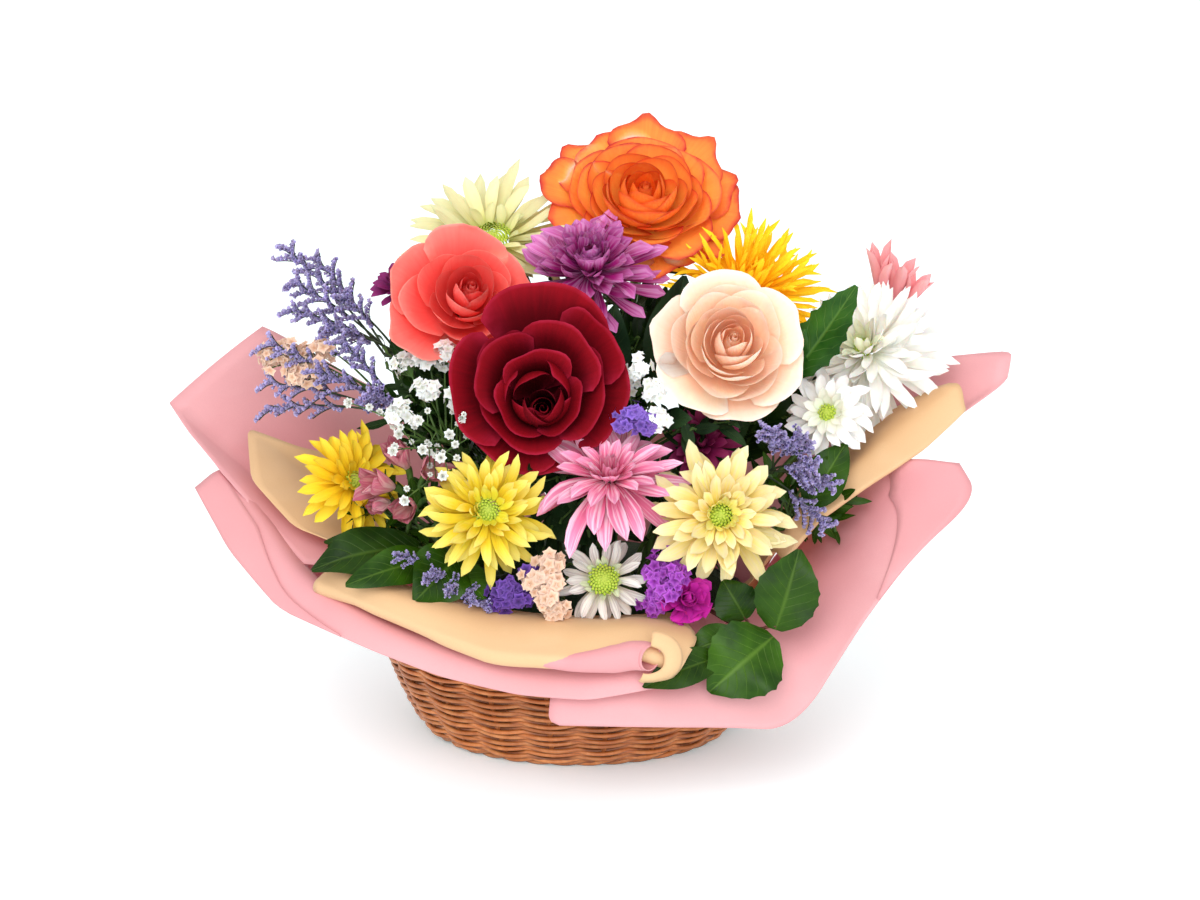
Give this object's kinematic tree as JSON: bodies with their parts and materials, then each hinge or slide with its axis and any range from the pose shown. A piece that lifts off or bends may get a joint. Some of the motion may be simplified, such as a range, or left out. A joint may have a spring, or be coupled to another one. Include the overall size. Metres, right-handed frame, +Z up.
{
  "type": "flower basket arrangement",
  "caption": "Mixed cut flowers in a low oval wicker basket lined with pink and beige wrapping paper",
  "frame": {"origin": "centre of the basket's flat underside", "axes": "+X right along the basket's length, -Y front, +Z up"},
  "size_m": [0.4684, 0.2515, 0.3305],
  "materials": {
    "petal_dusky_rose": "soft",
    "wicker": "woven willow, satin",
    "petal_fuchsia": "soft",
    "floral_foam": "matte, porous",
    "floret_white": "papery",
    "leaf_green": "satin",
    "floret_lavender": "papery",
    "liner_plastic": "matte",
    "petal_cream": "soft",
    "stem_green": "satin",
    "petal_cream_yellow": "soft",
    "petal_magenta": "soft",
    "petal_pink": "soft",
    "petal_purple": "soft",
    "petal_golden": "soft",
    "petal_white": "soft",
    "petal_yellow": "soft",
    "petal_salmon": "soft",
    "paper_beige": "matte",
    "paper_pink": "matte",
    "petal_blush": "velvety",
    "petal_coral": "velvety",
    "petal_orange": "velvety",
    "petal_red": "velvety",
    "floret_peach": "papery",
    "floret_violet": "papery"
  },
  "bodies": {
    "root": {"alstroemeria_pink": "petal_dusky_rose", "basket": "wicker", "carnation_magenta": "petal_fuchsia", "foam": "floral_foam", "gypsophila": "floret_white", "leaves_back_left": "leaf_green", "leaves_back_mid": "leaf_green", "leaves_back_right": "leaf_green", "leaves_front_right": "leaf_green", "leaves_holly": "leaf_green", "leaves_left": "leaf_green", "leaves_mid": "leaf_green", "leaves_right": "leaf_green", "limonium_front": "floret_lavender", "limonium_left_high": "floret_lavender", "limonium_left_low": "floret_lavender", "limonium_right": "floret_lavender", "liner": "liner_plastic", "mum_cream": "petal_cream", "mum_cream_stem": "stem_green", "mum_cream_yellow": "petal_cream_yellow", "mum_cream_yellow_stem": "stem_green", "mum_magenta_left": "petal_magenta", "mum_magenta_right": "petal_magenta", "mum_pink": "petal_pink", "mum_pink_stem": "stem_green", "mum_purple": "petal_purple", "mum_purple_stem": "stem_green", "mum_spider": "petal_golden", "mum_spider_stem": "stem_green", "mum_white": "petal_white", "mum_white_green": "petal_white", "mum_white_small": "petal_white", "mum_white_stem": "stem_green", "mum_yellow": "petal_yellow", "mum_yellow_left": "petal_yellow", "mum_yellow_stem": "stem_green", "nerine_pink": "petal_salmon", "paper_beige_front": "paper_beige", "paper_beige_left": "paper_beige", "paper_beige_right": "paper_beige", "paper_pink_back_left": "paper_pink", "paper_pink_back_right": "paper_pink", "paper_pink_front_left": "paper_pink", "paper_pink_front_right": "paper_pink", "rose_blush": "petal_blush", "rose_blush_stem": "stem_green", "rose_coral": "petal_coral", "rose_coral_stem": "stem_green", "rose_orange": "petal_orange", "rose_orange_stem": "stem_green", "rose_red": "petal_red", "rose_red_stem": "stem_green", "statice_peach_front": "floret_peach", "statice_peach_left": "floret_peach", "statice_purple_front": "floret_violet", "statice_purple_left": "floret_violet", "statice_purple_mid": "floret_violet", "statice_white_left": "floret_white", "statice_white_mid": "floret_white"}
  },
  "joints": []
}
